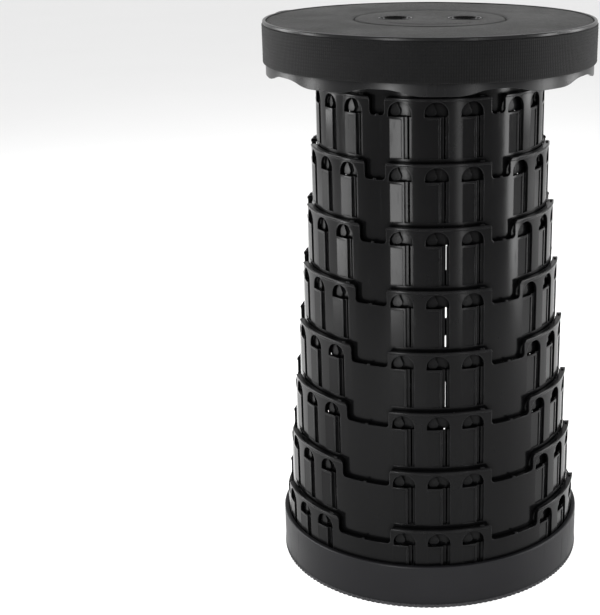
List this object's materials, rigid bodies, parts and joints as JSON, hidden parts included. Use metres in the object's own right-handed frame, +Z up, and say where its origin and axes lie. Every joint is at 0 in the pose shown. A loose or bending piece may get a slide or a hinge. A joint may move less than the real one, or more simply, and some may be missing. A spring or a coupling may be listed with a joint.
{
  "type": "camp stool",
  "caption": "Round telescoping camp stool of nested locking plastic rings, with a padded turning seat, rim belt and webbing carry handle.",
  "frame": {"origin": "centre of the base's underside, on the floor, with the stool fully extended", "axes": "+Z up along the column, -Y the front, +Y the back with the carry handle, +X the sitter's left seen from the front as right"},
  "size_m": [0.2517, 0.3102, 0.428],
  "materials": {
    "ring_gloss": "glossy black moulded plastic",
    "base_satin": "satin black moulded plastic",
    "shell_satin": "satin black moulded plastic",
    "cover": "black grained leather-look cover",
    "cup_gloss": "glossy black plastic",
    "webbing": "black ribbed webbing",
    "rubber": "black rubber",
    "rivet": "bright plated steel",
    "screw": "plated steel",
    "buckle": "black moulded plastic"
  },
  "bodies": {
    "base": {"base_shell": "base_satin", "anti_slip_ring": "rubber", "ring_8": "ring_gloss"},
    "ring_7": {"ring_7": "ring_gloss"},
    "ring_6": {"ring_6": "ring_gloss"},
    "ring_5": {"ring_5": "ring_gloss"},
    "ring_4": {"ring_4": "ring_gloss"},
    "ring_3": {"ring_3": "ring_gloss"},
    "ring_2": {"ring_2": "ring_gloss"},
    "ring_1": {"ring_1": "ring_gloss"},
    "collar": {"top_collar": "ring_gloss"},
    "seat": {"seat_shell": "shell_satin", "seat_pad": "cover", "centre_pad": "cover", "finger_cup_left": "cup_gloss", "finger_cup_right": "cup_gloss", "clamp_ring": "base_satin", "clamp_screws": "screw", "rim_belt": "webbing", "belt_end": "webbing", "belt_tail": "webbing", "belt_buckle": "buckle", "carry_handle": "webbing", "handle_rivets": "rivet", "rivet_washers": "rivet"}
  },
  "joints": [
    {"name": "ring_7_slide", "type": "slide", "parent": "base", "child": "ring_7", "axis": [0, 0, 1], "range_m": [-0.04553, 0]},
    {"name": "ring_6_slide", "type": "slide", "parent": "ring_7", "child": "ring_6", "axis": [0, 0, 1], "range_m": [-0.04553, 0]},
    {"name": "ring_5_slide", "type": "slide", "parent": "ring_6", "child": "ring_5", "axis": [0, 0, 1], "range_m": [-0.04553, 0]},
    {"name": "ring_4_slide", "type": "slide", "parent": "ring_5", "child": "ring_4", "axis": [0, 0, 1], "range_m": [-0.04553, 0]},
    {"name": "ring_3_slide", "type": "slide", "parent": "ring_4", "child": "ring_3", "axis": [0, 0, 1], "range_m": [-0.04553, 0]},
    {"name": "ring_2_slide", "type": "slide", "parent": "ring_3", "child": "ring_2", "axis": [0, 0, 1], "range_m": [-0.04553, 0]},
    {"name": "ring_1_slide", "type": "slide", "parent": "ring_2", "child": "ring_1", "axis": [0, 0, 1], "range_m": [-0.04553, 0]},
    {"name": "collar_slide", "type": "slide", "parent": "ring_1", "child": "collar", "axis": [0, 0, 1], "range_m": [-0.0395, 0]},
    {"name": "seat_turn", "type": "hinge", "parent": "collar", "child": "seat", "pos_m": [0, 0, 0.42], "axis": [0, 0, 1], "range_deg": [0, 44]}
  ]
}
